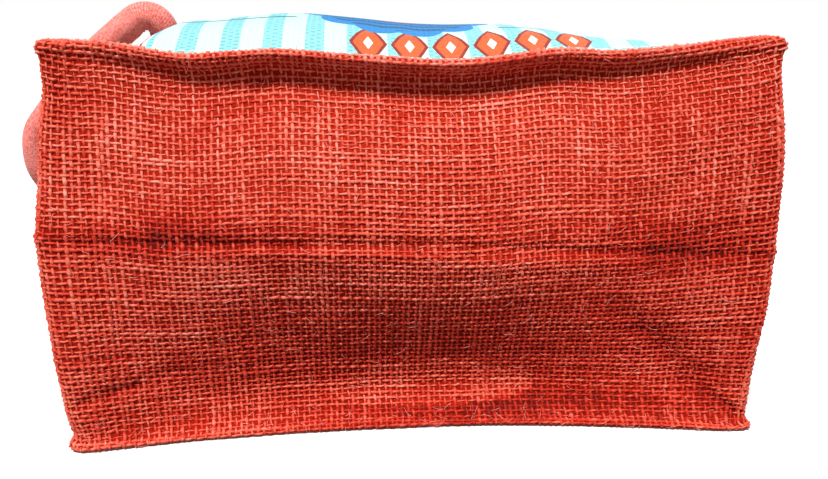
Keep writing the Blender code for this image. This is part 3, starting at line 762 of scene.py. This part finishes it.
# the front panel: striped jute swollen like a pillow, and the flat one that the bag lies on
panel = {
    "inset": 0.0036,  # the front panel's edge lies this far behind the strip's ridge
    "step": 0.0030,  # how fine its mesh is
    "backInset": 0.0034,  # the lower panel's edge is tucked behind the strip's low roll
    "backLines": (84, 76),  # how fine the lower panel's mesh is, across and along
    "yarnPitch": 0.0021,
    "hemGap": 0.0023,  # from the outer face to the face of the hem turned in
    "rimStep": 0.0009,  # along the cloth round the hem's fold
    "wovenSteps": 3,  # the first steps of the drawing and the first inks are in the yarn and show inside too
    "wovenInks": 2,
    "drawing": (  # stripes, a row of diamonds at each end, a round flower between them, and plain borders
        ("turn", "MULTIPLY_ADD", "x", 1 / 0.0152, 0.93),
        ("part", "FRACT", "turn"),
        ("stripe", "COMPARE", "part", 0.5, 0.225),
        ("cells", "DIVIDE", "x", 0.0023),  # painted shade in the gaps between yarns, one in two, to show at this size
        ("cell", "FLOOR", "cells"),
        ("cell", "MULTIPLY", "cell", 0.5),
        ("row", "MULTIPLY_ADD", "y", 1 / 0.0021, "cell"),
        ("row", "FRACT", "row"),
        ("row", "LESS_THAN", "row", 0.42),
        ("cells", "FRACT", "cells"),
        ("cells", "GREATER_THAN", "cells", 0.24),
        ("dashes", "MULTIPLY", "row", "cells"),
        ("dash", "GREATER_THAN", "grain", 0.40),
        ("dashes", "MULTIPLY", "dashes", "dash"),
        ("cover", "MULTIPLY_ADD", "stripe", 0.50, 0.07),
        ("dashes", "MULTIPLY", "dashes", "cover"),
        ("side", "ABSOLUTE", "x"),
        ("border", "GREATER_THAN", "side", 0.0965),
        ("near", "SUBTRACT", "side", 0.09975),
        ("near", "ABSOLUTE", "near"),
        ("edgeLines", "COMPARE", "near", 0.00135, 0.00045),
        ("fromMid", "SUBTRACT", "y", 0.0740),
        ("ahead", "ABSOLUTE", "fromMid"),
        ("rowAway", "SUBTRACT", "ahead", 0.0460),
        ("rowAway", "ABSOLUTE", "rowAway"),
        ("rowAway", "DIVIDE", "rowAway", 0.0150),
        ("column", "MULTIPLY_ADD", "x", 1 / 0.0155, 0.0250 / 0.0155),
        ("column", "FRACT", "column"),
        ("column", "SUBTRACT", "column", 0.5),
        ("column", "ABSOLUTE", "column"),
        ("diamond", "MULTIPLY_ADD", "column", 2.0, "rowAway"),
        ("inRow", "COMPARE", "x", 0.0215, 0.0465),
        ("outline", "LESS_THAN", "diamond", 0.92),
        ("outline", "MULTIPLY", "outline", "inRow"),
        ("filled", "LESS_THAN", "diamond", 0.74),
        ("filled", "MULTIPLY", "filled", "inRow"),
        ("heart", "LESS_THAN", "diamond", 0.24),
        ("heart", "MULTIPLY", "heart", "inRow"),
        ("fromFlower", "ADD", "x", 0.0050),
        ("squareX", "MULTIPLY", "fromFlower", "fromFlower"),
        ("square", "MULTIPLY_ADD", "fromMid", "fromMid", "squareX"),
        ("far", "SQRT", "square"),
        ("angle", "ARCTAN2", "fromFlower", "fromMid"),
        ("petal", "MULTIPLY", "angle", 6.0),
        ("petal", "SINE", "petal"),
        ("petal", "ABSOLUTE", "petal"),
        ("petal", "MULTIPLY_ADD", "petal", -0.0050, "far"),
        ("petals", "LESS_THAN", "petal", 0.0345),
        ("disc", "LESS_THAN", "far", 0.0320),
        ("ripple", "MULTIPLY", "x", 420.0),
        ("ripple", "SINE", "ripple"),
        ("ripple", "MULTIPLY", "ripple", 0.9),
        ("ripple", "MULTIPLY_ADD", "y", 900.0, "ripple"),
        ("ripple", "SINE", "ripple"),
        ("ripple", "GREATER_THAN", "ripple", 0.1),
        ("ripple", "MULTIPLY", "ripple", "disc"),
        ("eye", "LESS_THAN", "far", 0.0080),
        ("line", "COMPARE", "ahead", 0.0255, 0.0009),
        ("lineEnd", "GREATER_THAN", "far", 0.0470),
        ("line", "MULTIPLY", "line", "lineEnd"),
        ("lineEnd", "LESS_THAN", "side", 0.1000),
        ("line", "MULTIPLY", "line", "lineEnd"),
    ),
    "inks": (  # what each part of the drawing is printed in, from the cloth's own colour up, and painted shade for the dashes
        ("cloth", "#c2e2dd"),
        ("stripe", "#8ad3d7"),
        # painted shade in the gaps between yarns
        ("dashes", "#4f8c96"),
        ("border", "#dfe8e5"),
        ("edgeLines", "#b5402f"),
        ("line", "#14607f"),
        ("outline", "#8e2414"),
        ("filled", "#cf5823"),
        ("heart", "#f3ede0"),
        ("petals", "#0c7fc4"),
        ("disc", "#0d5688"),
        ("ripple", "#0c7fc4"),
        ("eye", "#cf5823"),
    ),
}
crownLine = (  # x, how high the panel swells there
    (-0.125, 0.0000),
    (-0.117, 0.0000),
    (-0.109, 0.0010),
    (-0.101, 0.0062),
    (-0.092, 0.0090),
    (-0.078, 0.0110),
    (-0.062, 0.0132),
    (-0.040, 0.0150),
    (0.000, 0.0141),
    (0.030, 0.0123),
    (0.062, 0.0068),
    (0.086, 0.0014),
    (0.104, -0.0010),
    (0.125, -0.0010),
)
swellLine = (  # distance from the base, the share of the swelling there
    (0.000, 0.00),
    (0.012, 0.04),
    (0.024, 0.26),
    (0.040, 0.64),
    (0.060, 0.92),
    (0.084, 1.02),
    (0.120, 0.96),
    (0.160, 0.72),
    (0.195, 0.42),
    (0.225, 0.20),
)
grooveLine = (  # distance from the panel's edge, the drop behind the ridge
    (0.000, 0.0000),
    (0.003, 0.0030),
    (0.006, 0.0052),
    (0.0095, 0.0062),
    (0.014, 0.0056),
    (0.022, 0.0030),
    (0.032, 0.0000),
)


def frontHeight(x, y):  # the ridge's height, less the groove behind it, with the swelling on top
    half = bag["width"] / 2 - panel["inset"]
    inward = min(half - abs(x), y)
    drop = float(tableLine(grooveLine, inward))
    nearSide = ridgeHeight(math.copysign(bag["width"] / 2, x), y)
    across = smooth((half - abs(x)) / half)
    atBase = ridgeHeight(x, 0.0)
    middle = atBase + (strip["ridgeAtMouth"] - atBase) * smooth(y / bag["length"])
    ridge = nearSide + (middle - nearSide) * across if y > 0 else atBase
    crown = float(tableLine(crownLine, x))
    return ridge - drop + crown * float(tableLine(swellLine, y))


def edgeBack(row, x):  # how far the strip's edge falls short of a ridge's full reach, along the base
    return bag["ridgeReach"] - standOut(row, min(wallX, max(-wallX, x)), 0.0)


def frontPlace(x, y):
    start = panel["inset"] + edgeBack(foldLines[-1], x) * (1 - smooth(y / (bag["length"] / 2)))
    return (x, float(uneven(start + y, bag["depth"] + x)), frontHeight(x, y))


def backPlace(x, y):
    inward = edgeBack(foldLines[0], x) + panel["backInset"]
    side = standOut(foldLines[0], math.copysign(wallX, x), y) - bag["ridgeReach"]  # as the strip's
    wide = x * (1 + (side - panel["backInset"] / 2) / (bag["width"] / 2))
    return (wide, float(uneven(inward * (1 - smooth(y / (bag["length"] / 2))) + y, x)), 0.0)


def stripedJute(name, printed):  # striped yarns in a plain weave under a dull film, with or without print
    material, tree, shader = newFinish(name)
    flat = addNode(tree, "UVMap", uv_map="cloth").outputs["UV"]
    split = addNode(tree, "SeparateXYZ", {0: flat})
    height = plainWeave(tree, split.outputs[0], split.outputs[1], panel["yarnPitch"])
    grain = addNode(tree, "TexNoise", {"Vector": flat, "Scale": 700.0, "Detail": 2.0}).outputs["Fac"]
    at = {"x": split.outputs[0], "y": split.outputs[1], "grain": grain, "height": height}
    drawing = panel["drawing"] if printed else panel["drawing"][:panel["wovenSteps"]]
    inks = panel["inks"] if printed else panel["inks"][:panel["wovenInks"]]
    for name, operation, *values in drawing:
        inputs = {k: at.get(value, value) for k, value in enumerate(values)}
        at[name] = addNode(tree, "Math", inputs, operation=operation).outputs[0]
    colour = linear(inks[0][1])
    for mask, ink in inks[1:]:
        layer = addNode(tree, "Mix", {0: at[mask], 6: colour, 7: linear(ink)}, data_type="RGBA")
        colour = layer.outputs[2]
    bump = addNode(tree, "Bump", {"Height": height, "Strength": 0.6, "Distance": 0.0004})
    feed(tree, shader, {"Base Color": colour, "Normal": bump.outputs["Normal"], "Roughness": 0.5})
    return material


def sewingThread():
    material, tree, shader = newFinish("polyester sewing thread")  # pale, faintly shiny, twisted
    place = addNode(tree, "TexCoord").outputs["Object"]
    twist = addNode(tree, "TexNoise", {"Vector": place, "Scale": 3500.0}).outputs["Fac"]
    ramp = addNode(tree, "ValToRGB", {"Fac": twist})
    setStops(ramp, ((0.3, "#cfc8bf"), (0.7, "#f4efe8")))
    feed(tree, shader, {"Base Color": ramp.outputs["Color"], "Roughness": 0.4})
    return material


thread = {
    "stitch": 0.0034,  # from one needle hole to the next
    "gap": 0.0007,
    "half": 0.00024,
    "proud": 0.0003,  # how far a stitch stands on the cloth, and how deep its ends go in
    "dip": 0.0001,
    "bend": 0.2,  # share of a stitch that goes up, and again down
    "endSize": 0.5,
}
threadFinish = sewingThread()


def stitchLine(points, outward):  # a row of stitches lying on the cloth
    run = runAlong(points)
    rise = np.array([-thread["dip"], thread["proud"], thread["proud"], -thread["dip"]])
    halves = thread["half"] * np.array([thread["endSize"], 1.0, 1.0, thread["endSize"]])
    bend = thread["bend"]
    rows = []
    for k in range(int(run[-1] / thread["stitch"])):
        start, end = k * thread["stitch"], (k + 1) * thread["stitch"] - thread["gap"]
        spots = np.array([start, (1 - bend) * start + bend * end, bend * start + (1 - bend) * end, end])
        line = readLine(points, run, spots) + readLine(outward, run, spots) * rise[:, None]
        rows.append((line, halves, np.zeros(len(spots))))
    return rows


def panelFaces(place, xs, ys, hem):  # a panel with its mouth edge turned in, and its places when flat
    points = np.array([[place(x, y) for y in ys] for x in xs])
    second, outward = directions(points)[1:]
    rows = points.transpose(1, 0, 2)
    turned = turnedHem(rows, outward.transpose(1, 0, 2), second[:, -1], panel["hemGap"], hem)
    points = np.concatenate((points, np.array(turned).transpose(1, 0, 2)), axis=1)
    runs = list(ys) + [ys[-1] + panel["rimStep"] * (k + 1) for k in range(3)]
    runs += [ys[-1] + 4 * panel["rimStep"] + (ys[-1] - ys[-2]) * k for k in range(hem)]
    return points, np.stack(np.meshgrid(xs, runs, indexing="ij"), axis=2)


def makePanels():
    finish = [stripedJute("laminated striped jute", True), stripedJute("striped jute, inner face", False)]
    hem = round(bag["hemWidth"] / panel["step"]) + 1
    half = bag["width"] / 2 - panel["inset"]
    length = bag["length"] - panel["inset"]
    xs = np.linspace(-half, half, round(2 * half / panel["step"]) + 1)
    ys = np.linspace(0.0, length, round(length / panel["step"]) + 1)
    front = showPiece("front_panel_cloth", gridMesh(*panelFaces(frontPlace, xs, ys, hem)), finish)
    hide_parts("front_panel")

    half = bag["width"] / 2 - panel["backInset"] / 2
    across, lengthwise = panel["backLines"]
    xs = np.linspace(half, -half, across)
    ys = np.linspace(0.0, bag["length"] - panel["backInset"], lengthwise)
    back = showPiece("back_panel_cloth", gridMesh(*panelFaces(backPlace, xs, ys, hem)), finish)
    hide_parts("back_panel")
    for piece, rest in ((front, ["gusset_cloth"]), (back, [])):
        thicken(piece, bag["cloth"])


makePanels()
print("panels laid")


# the handles: padded cotton tubes with flat ends
handle = {
    "size": 0.0170,  # the padding swells a little past the plain tube
    "tabWidth": 0.022,  # the flat ends
    "tabThickness": 0.003,
    "lowerGap": 0.0005,  # from the hem to a flat end
    "upperGap": 0.0011,
    "tabX": 0.050,
    "tabIn": 0.026,  # they lie between these distances inside the mouth
    "tabOut": 0.004,
    "swellLength": 0.030,  # over which a flat end turns into the tube
    "bareEnd": 0.040,  # the seam's stitches start this far along
    "sides": 28,
    "step": 0.0016,
    "yarnPitch": 0.0010,  # the real canvas has about 16 threads to the centimetre, drawn coarser to show
    "foldPitch": 0.0062,  # from one wrinkle inside a bend to the next
    "press": 0.10,  # share by which the padding is pressed in, inside a bend
    "tightBend": 60.0,  # in such a bend (one over its radius) all of it
    "lumps": 0.018,  # uneven filling, a share of the size, a new value every so many steps
    "lumpEvery": 9,
    "seamDip": 0.0006,
    "seamWidth": 0.03,
}
upperRoute = (
    (-0.0560, 0.2385, 0.1285),
    (-0.0720, 0.2485, 0.1280),
    (-0.0920, 0.2525, 0.1290),
    (-0.1110, 0.2510, 0.1320),
    (-0.1250, 0.2455, 0.1365),
    (-0.1328, 0.2394, 0.1437),
    (-0.1350, 0.2352, 0.1500),
    (-0.1361, 0.2322, 0.1548),
    (-0.1392, 0.2303, 0.1585),
    (-0.1440, 0.2293, 0.1600),
    (-0.1487, 0.2287, 0.1590),
    (-0.1530, 0.2284, 0.1560),
    (-0.1610, 0.2282, 0.1495),
    (-0.1740, 0.2282, 0.1385),
    (-0.1865, 0.2285, 0.1258),
    (-0.1960, 0.2290, 0.1135),
    (-0.2055, 0.2298, 0.1030),
    (-0.2125, 0.2310, 0.0935),
    (-0.2149, 0.2325, 0.0830),
    (-0.2140, 0.2355, 0.0700),
    (-0.2080, 0.2400, 0.0590),
    (-0.1930, 0.2450, 0.0530),
    (-0.1700, 0.2505, 0.0530),
    (-0.1380, 0.2560, 0.0590),
    (-0.1000, 0.2600, 0.0710),
    (-0.0600, 0.2610, 0.0850),
    (-0.0200, 0.2580, 0.0990),
    (0.0150, 0.2520, 0.1110),
    (0.0390, 0.2430, 0.1210),
    (0.0490, 0.2350, 0.1270),
)
lowerRoute = (
    (-0.0535, 0.2440, 0.0080),
    (-0.0700, 0.2690, 0.0078),
    (-0.0900, 0.2950, 0.0078),
    (-0.0940, 0.3260, 0.0078),
    (-0.0720, 0.3530, 0.0078),
    (-0.0310, 0.3680, 0.0078),
    (0.0160, 0.3700, 0.0078),
    (0.0610, 0.3590, 0.0078),
    (0.0900, 0.3340, 0.0078),
    (0.0940, 0.3030, 0.0078),
    (0.0780, 0.2730, 0.0078),
    (0.0560, 0.2450, 0.0080),
)


def cottonCanvas():
    material, tree, shader = newFinish("padded cotton canvas")  # soft, fine plain weave, no shine
    place = addNode(tree, "TexCoord").outputs["Object"]
    flat = addNode(tree, "UVMap", uv_map="cloth").outputs["UV"]
    split = addNode(tree, "SeparateXYZ", {0: flat})
    weave = plainWeave(tree, split.outputs[0], split.outputs[1], handle["yarnPitch"])
    slubs = addNode(tree, "TexNoise", {"Vector": place, "Scale": 800.0, "Detail": 4.0}).outputs["Fac"]
    cloud = addNode(tree, "TexNoise", {"Vector": place, "Scale": 60.0, "Detail": 3.0}).outputs["Fac"]
    height = addNode(tree, "Math", {0: weave, 1: 0.35, 2: slubs}, operation="MULTIPLY_ADD").outputs[0]
    shade = addNode(tree, "Math", {0: cloud, 1: 0.3, 2: height}, operation="MULTIPLY_ADD").outputs[0]
    ramp = addNode(tree, "ValToRGB", {"Fac": shade})
    setStops(ramp, ((0.60, "#cc4a40"), (0.82, "#ec6f63"), (1.0, "#f99a90")))
    bump = addNode(tree, "Bump", {"Height": height, "Strength": 0.7, "Distance": 0.0004})
    feed(tree, shader, {
        "Base Color": ramp.outputs["Color"], "Normal": bump.outputs["Normal"], "Roughness": 0.85,
        "Sheen Weight": 0.1,
    })
    return material


def handlePath(tabHeight, route):  # from one flat end along the route to the other
    ends = []
    for side in (-1, 1):
        for inside in (handle["tabIn"], (handle["tabIn"] + handle["tabOut"]) / 2, handle["tabOut"]):
            y = bag["length"] - inside
            ends.append((side * handle["tabX"], y, tabHeight(side * handle["tabX"], y)))
    points = np.array(ends[:3] + list(route) + ends[:2:-1])
    return evenly(points, round(runAlong(points)[-1] / handle["step"]))


def wideWays(tangents):  # the flat ends' wide way, carried along without twist, and the twist left over
    wide = level = Vector((1, 0, 0))
    wides = []
    for k, tangent in enumerate(tangents):
        tangent = Vector(tangent)
        if k:
            wide = Vector(tangents[k - 1]).rotation_difference(tangent) @ wide
        wide = (wide - tangent * wide.dot(tangent)).normalized()
        wides.append(wide.copy())
    last = Vector(tangents[-1])
    level = (level - last * level.dot(last)).normalized()
    twist = math.atan2(wides[-1].cross(level).dot(last), wides[-1].dot(level))
    if abs(twist) > math.pi / 2:
        twist -= math.copysign(math.pi, twist)
    return wides, twist


def handlePiece(name, tabHeight, route, finish):
    path = handlePath(tabHeight, route)
    run = runAlong(path)
    tangents = np.gradient(path, axis=0)
    tangents /= np.linalg.norm(tangents, axis=1, keepdims=True)
    wides, twist = wideWays(tangents)
    sides = handle["sides"]
    size = handle["size"]
    flatLength = handle["tabIn"] - handle["tabOut"]
    points = np.zeros((len(path), sides + 1, 3))
    bend = np.gradient(tangents, axis=0) / handle["step"]  # points into a bend, longer where it is tighter
    lumps = 1.0 + drift(len(path), handle["lumpEvery"], handle["lumps"])
    seamUp = []
    for k, centre in enumerate(path):
        turn = Matrix.Rotation(twist * k / (len(path) - 1), 3, Vector(tangents[k]))
        across = np.array(turn @ wides[k])
        up = np.cross(tangents[k], across)
        full = float(smooth((min(run[k], run[-1] - run[k]) - flatLength) / handle["swellLength"]))
        halfWidth = (handle["tabWidth"] + (size - handle["tabWidth"]) * full) / 2
        halfHeight = (handle["tabThickness"] + (size - handle["tabThickness"]) * full) / 2
        ripple = math.sin(2 * math.pi * run[k] / handle["foldPitch"]) * full
        for n in range(sides + 1):
            angle = -2 * math.pi * (n % sides) / sides
            way = across * math.cos(angle) + up * math.sin(angle)
            inside = max(0.0, float(way @ bend[k])) / handle["tightBend"]
            pressed = min(handle["press"], inside * handle["press"] * (1 + ripple))
            swell = 1.0 + (lumps[k] - 1.0) * full - pressed
            atSeam = math.exp(-((math.cos(angle) - 1) / handle["seamWidth"]) ** 2)
            swell -= handle["seamDip"] / halfWidth * full * atSeam
            out = across * math.cos(angle) * halfWidth + up * math.sin(angle) * halfHeight
            points[k, n] = centre + out * swell
        seamUp.append(across)
    points[:, :, 2] = np.maximum(points[:, :, 2], 0.0)  # flat where it rests on the floor
    girth = np.arange(sides + 1) / sides * math.pi * size
    mesh = gridMesh(points, np.stack(np.meshgrid(run, girth, indexing="ij"), axis=2))
    bmesh.ops.remove_doubles(mesh, verts=mesh.verts, dist=1e-6)
    bmesh.ops.holes_fill(mesh, edges=[edge for edge in mesh.edges if edge.is_boundary], sides=0)
    bmesh.ops.recalc_face_normals(mesh, faces=mesh.faces)
    piece = showPiece(name, mesh, [finish])
    print(name, round(run[-1], 3), "m long")
    free = (run > handle["bareEnd"]) & (run < run[-1] - handle["bareEnd"])
    return piece, stitchLine(points[free, 1], np.array(seamUp)[free])


def upperTabHeight(x, y):
    inside = frontHeight(x, y - panel["inset"]) - bag["cloth"] * 2
    return inside - handle["upperGap"] - handle["tabThickness"] / 2


def lowerTabHeight(x, y):
    return bag["cloth"] * 2 + handle["lowerGap"] + handle["tabThickness"] / 2


canvas = cottonCanvas()
upperHandle, upperSeam = handlePiece("upper_handle", upperTabHeight, upperRoute, canvas)
lowerHandle, lowerSeam = handlePiece("lower_handle", lowerTabHeight, lowerRoute, canvas)
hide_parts("front_handle")
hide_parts("back_handle")
print("handles sewn on")


# the sewing: hems, the seam behind the ridge, and the squares that hold the handles
sewing = {
    "hemLine": 0.0165,  # from the mouth's edge
    "hemEnds": 0.004,  # a panel's hem is sewn from this far inside its sides
    "seamLine": 0.0026,
    "squareIn": (0.0055, 0.0240),  # the squares that hold the handles, from the mouth's edge
    "squareHalf": 0.0085,
    "bareRows": (6, 14),  # half pitches of the strip's hem without stitches, at its low and upper roll
    "inside": 0.0006,  # thread on the inner side lies this far past the hem's face
}


def onPanel(place, spots, side):  # stitches through a panel along flat places, on its outer or inner side
    points = np.array([place(x, y) for x, y in spots])
    ahead = np.array([place(x, y + 0.001) for x, y in spots]) - points
    across = np.array([place(x + 0.001, y) for x, y in spots]) - points
    outward = np.cross(across, ahead)
    outward /= np.linalg.norm(outward, axis=1, keepdims=True)
    depth = 0.0 if side > 0 else panel["hemGap"]
    return stitchLine(points - outward * depth, outward * side)


def lineOf(corners, step=0.002):  # flat places along straight runs
    spots = []
    for (x1, y1), (x2, y2) in zip(corners[:-1], corners[1:]):
        count = max(2, round(math.hypot(x2 - x1, y2 - y1) / step))
        spots += [(x1 + (x2 - x1) * k / count, y1 + (y2 - y1) * k / count) for k in range(count + 1)]
    return spots


def lowPlace(x, y):  # the lower panel with its sides swapped, so that its outer side looks down
    return backPlace(-x, y)


def sewAll():
    rows = list(upperSeam) + list(lowerSeam)
    edge = bag["width"] / 2 - panel["inset"]
    length = bag["length"] - panel["inset"]
    near = sewing["seamLine"]
    far = edge - near
    seamRun = lineOf([(-far, length), (-far, near), (far, near), (far, length)])
    rows += onPanel(frontPlace, seamRun, 1)
    hemEnd = edge - sewing["hemEnds"]
    for place, end in ((frontPlace, length), (lowPlace, bag["length"] - panel["backInset"])):
        hem = lineOf([(-hemEnd, end - sewing["hemLine"]), (hemEnd, end - sewing["hemLine"])])
        rows += onPanel(place, hem, 1) + onPanel(place, hem, -1)
        for middle in (-handle["tabX"], handle["tabX"]):
            first, last = end - sewing["squareIn"][1], end - sewing["squareIn"][0]
            left, right = middle - sewing["squareHalf"], middle + sewing["squareHalf"]
            square = [(left, first), (right, first), (right, last), (left, last), (left, first)]
            rows += onPanel(place, lineOf(square + [(right, last)]), 1)
            rows += onPanel(place, lineOf([(right, first), (left, last)]), 1)
    turned = round(sewing["hemLine"] / strip["warpPitch"] * 2)
    outward = directions(stripFace)[2]
    for column in (turned, stripFace.shape[0] - 1 - turned):
        inner = slice(sewing["bareRows"][0], stripFace.shape[1] - sewing["bareRows"][1])
        rows += stitchLine(stripFace[column, inner], outward[column, inner])
        inside = stripFace[column, inner] - outward[column, inner] * (strip["hemGap"] + sewing["inside"])
        rows += stitchLine(inside, -outward[column, inner])
    return yarnPiece("sewing_thread", rows, threadFinish)


fuzz = {
    "count": 700,
    "onBase": 0.7,  # share of them
    "length": 0.0036,
    "lengths": (0.4, 1.3),  # shares of it
    "half": 0.00009,
    "points": 5,
    "curl": 0.5,
    "lift": (0.05, 0.35),
    "tones": (0.35, 0.75),
    "lowEach": 6,  # one in so many lies along the lower seam, in its first rows
    "lowRows": 12,
}


def looseFibres():  # hairs that stand out of the jute, and a few pale ones laid across it
    rows = []
    outward = directions(stripFace)[2]
    lines, up = stripFace.shape[:2]
    side = 2 * round(bag["length"] / strip["warpPitch"])
    for k in range(fuzz["count"]):
        onBase = k < fuzz["count"] * fuzz["onBase"]
        i = int(rng.integers(side, lines - side) if onBase else rng.integers(2, lines - 2))
        j = int(rng.integers(1, fuzz["lowRows"] if k % fuzz["lowEach"] == 0 else up - 2))
        way = rng.normal(0.0, 1.0, 3)
        way -= outward[i, j] * (way @ outward[i, j])
        way /= np.linalg.norm(way)
        turn = np.cross(outward[i, j], way)
        length = fuzz["length"] * rng.uniform(*fuzz["lengths"])
        steps = np.linspace(0.0, 1.0, fuzz["points"])
        curl = rng.normal(0.0, fuzz["curl"])
        lift = rng.uniform(*fuzz["lift"])
        points = stripFace[i, j] + np.outer(steps * length, way) + np.outer(curl * length * steps**2, turn)
        points += np.outer(lift * length * steps * (1.2 - steps), outward[i, j])
        tones = np.full(len(steps), rng.uniform(*fuzz["tones"]))
        rows.append((points, fuzz["half"] * (1.1 - 0.7 * steps), tones))
    return yarnPiece("loose_fibres", rows, yarnFinish)


threads = sewAll()
fibres = looseFibres()
print("sewn:", len(threads.data.polygons) * 2, "and", len(fibres.data.polygons) * 2, "triangles")
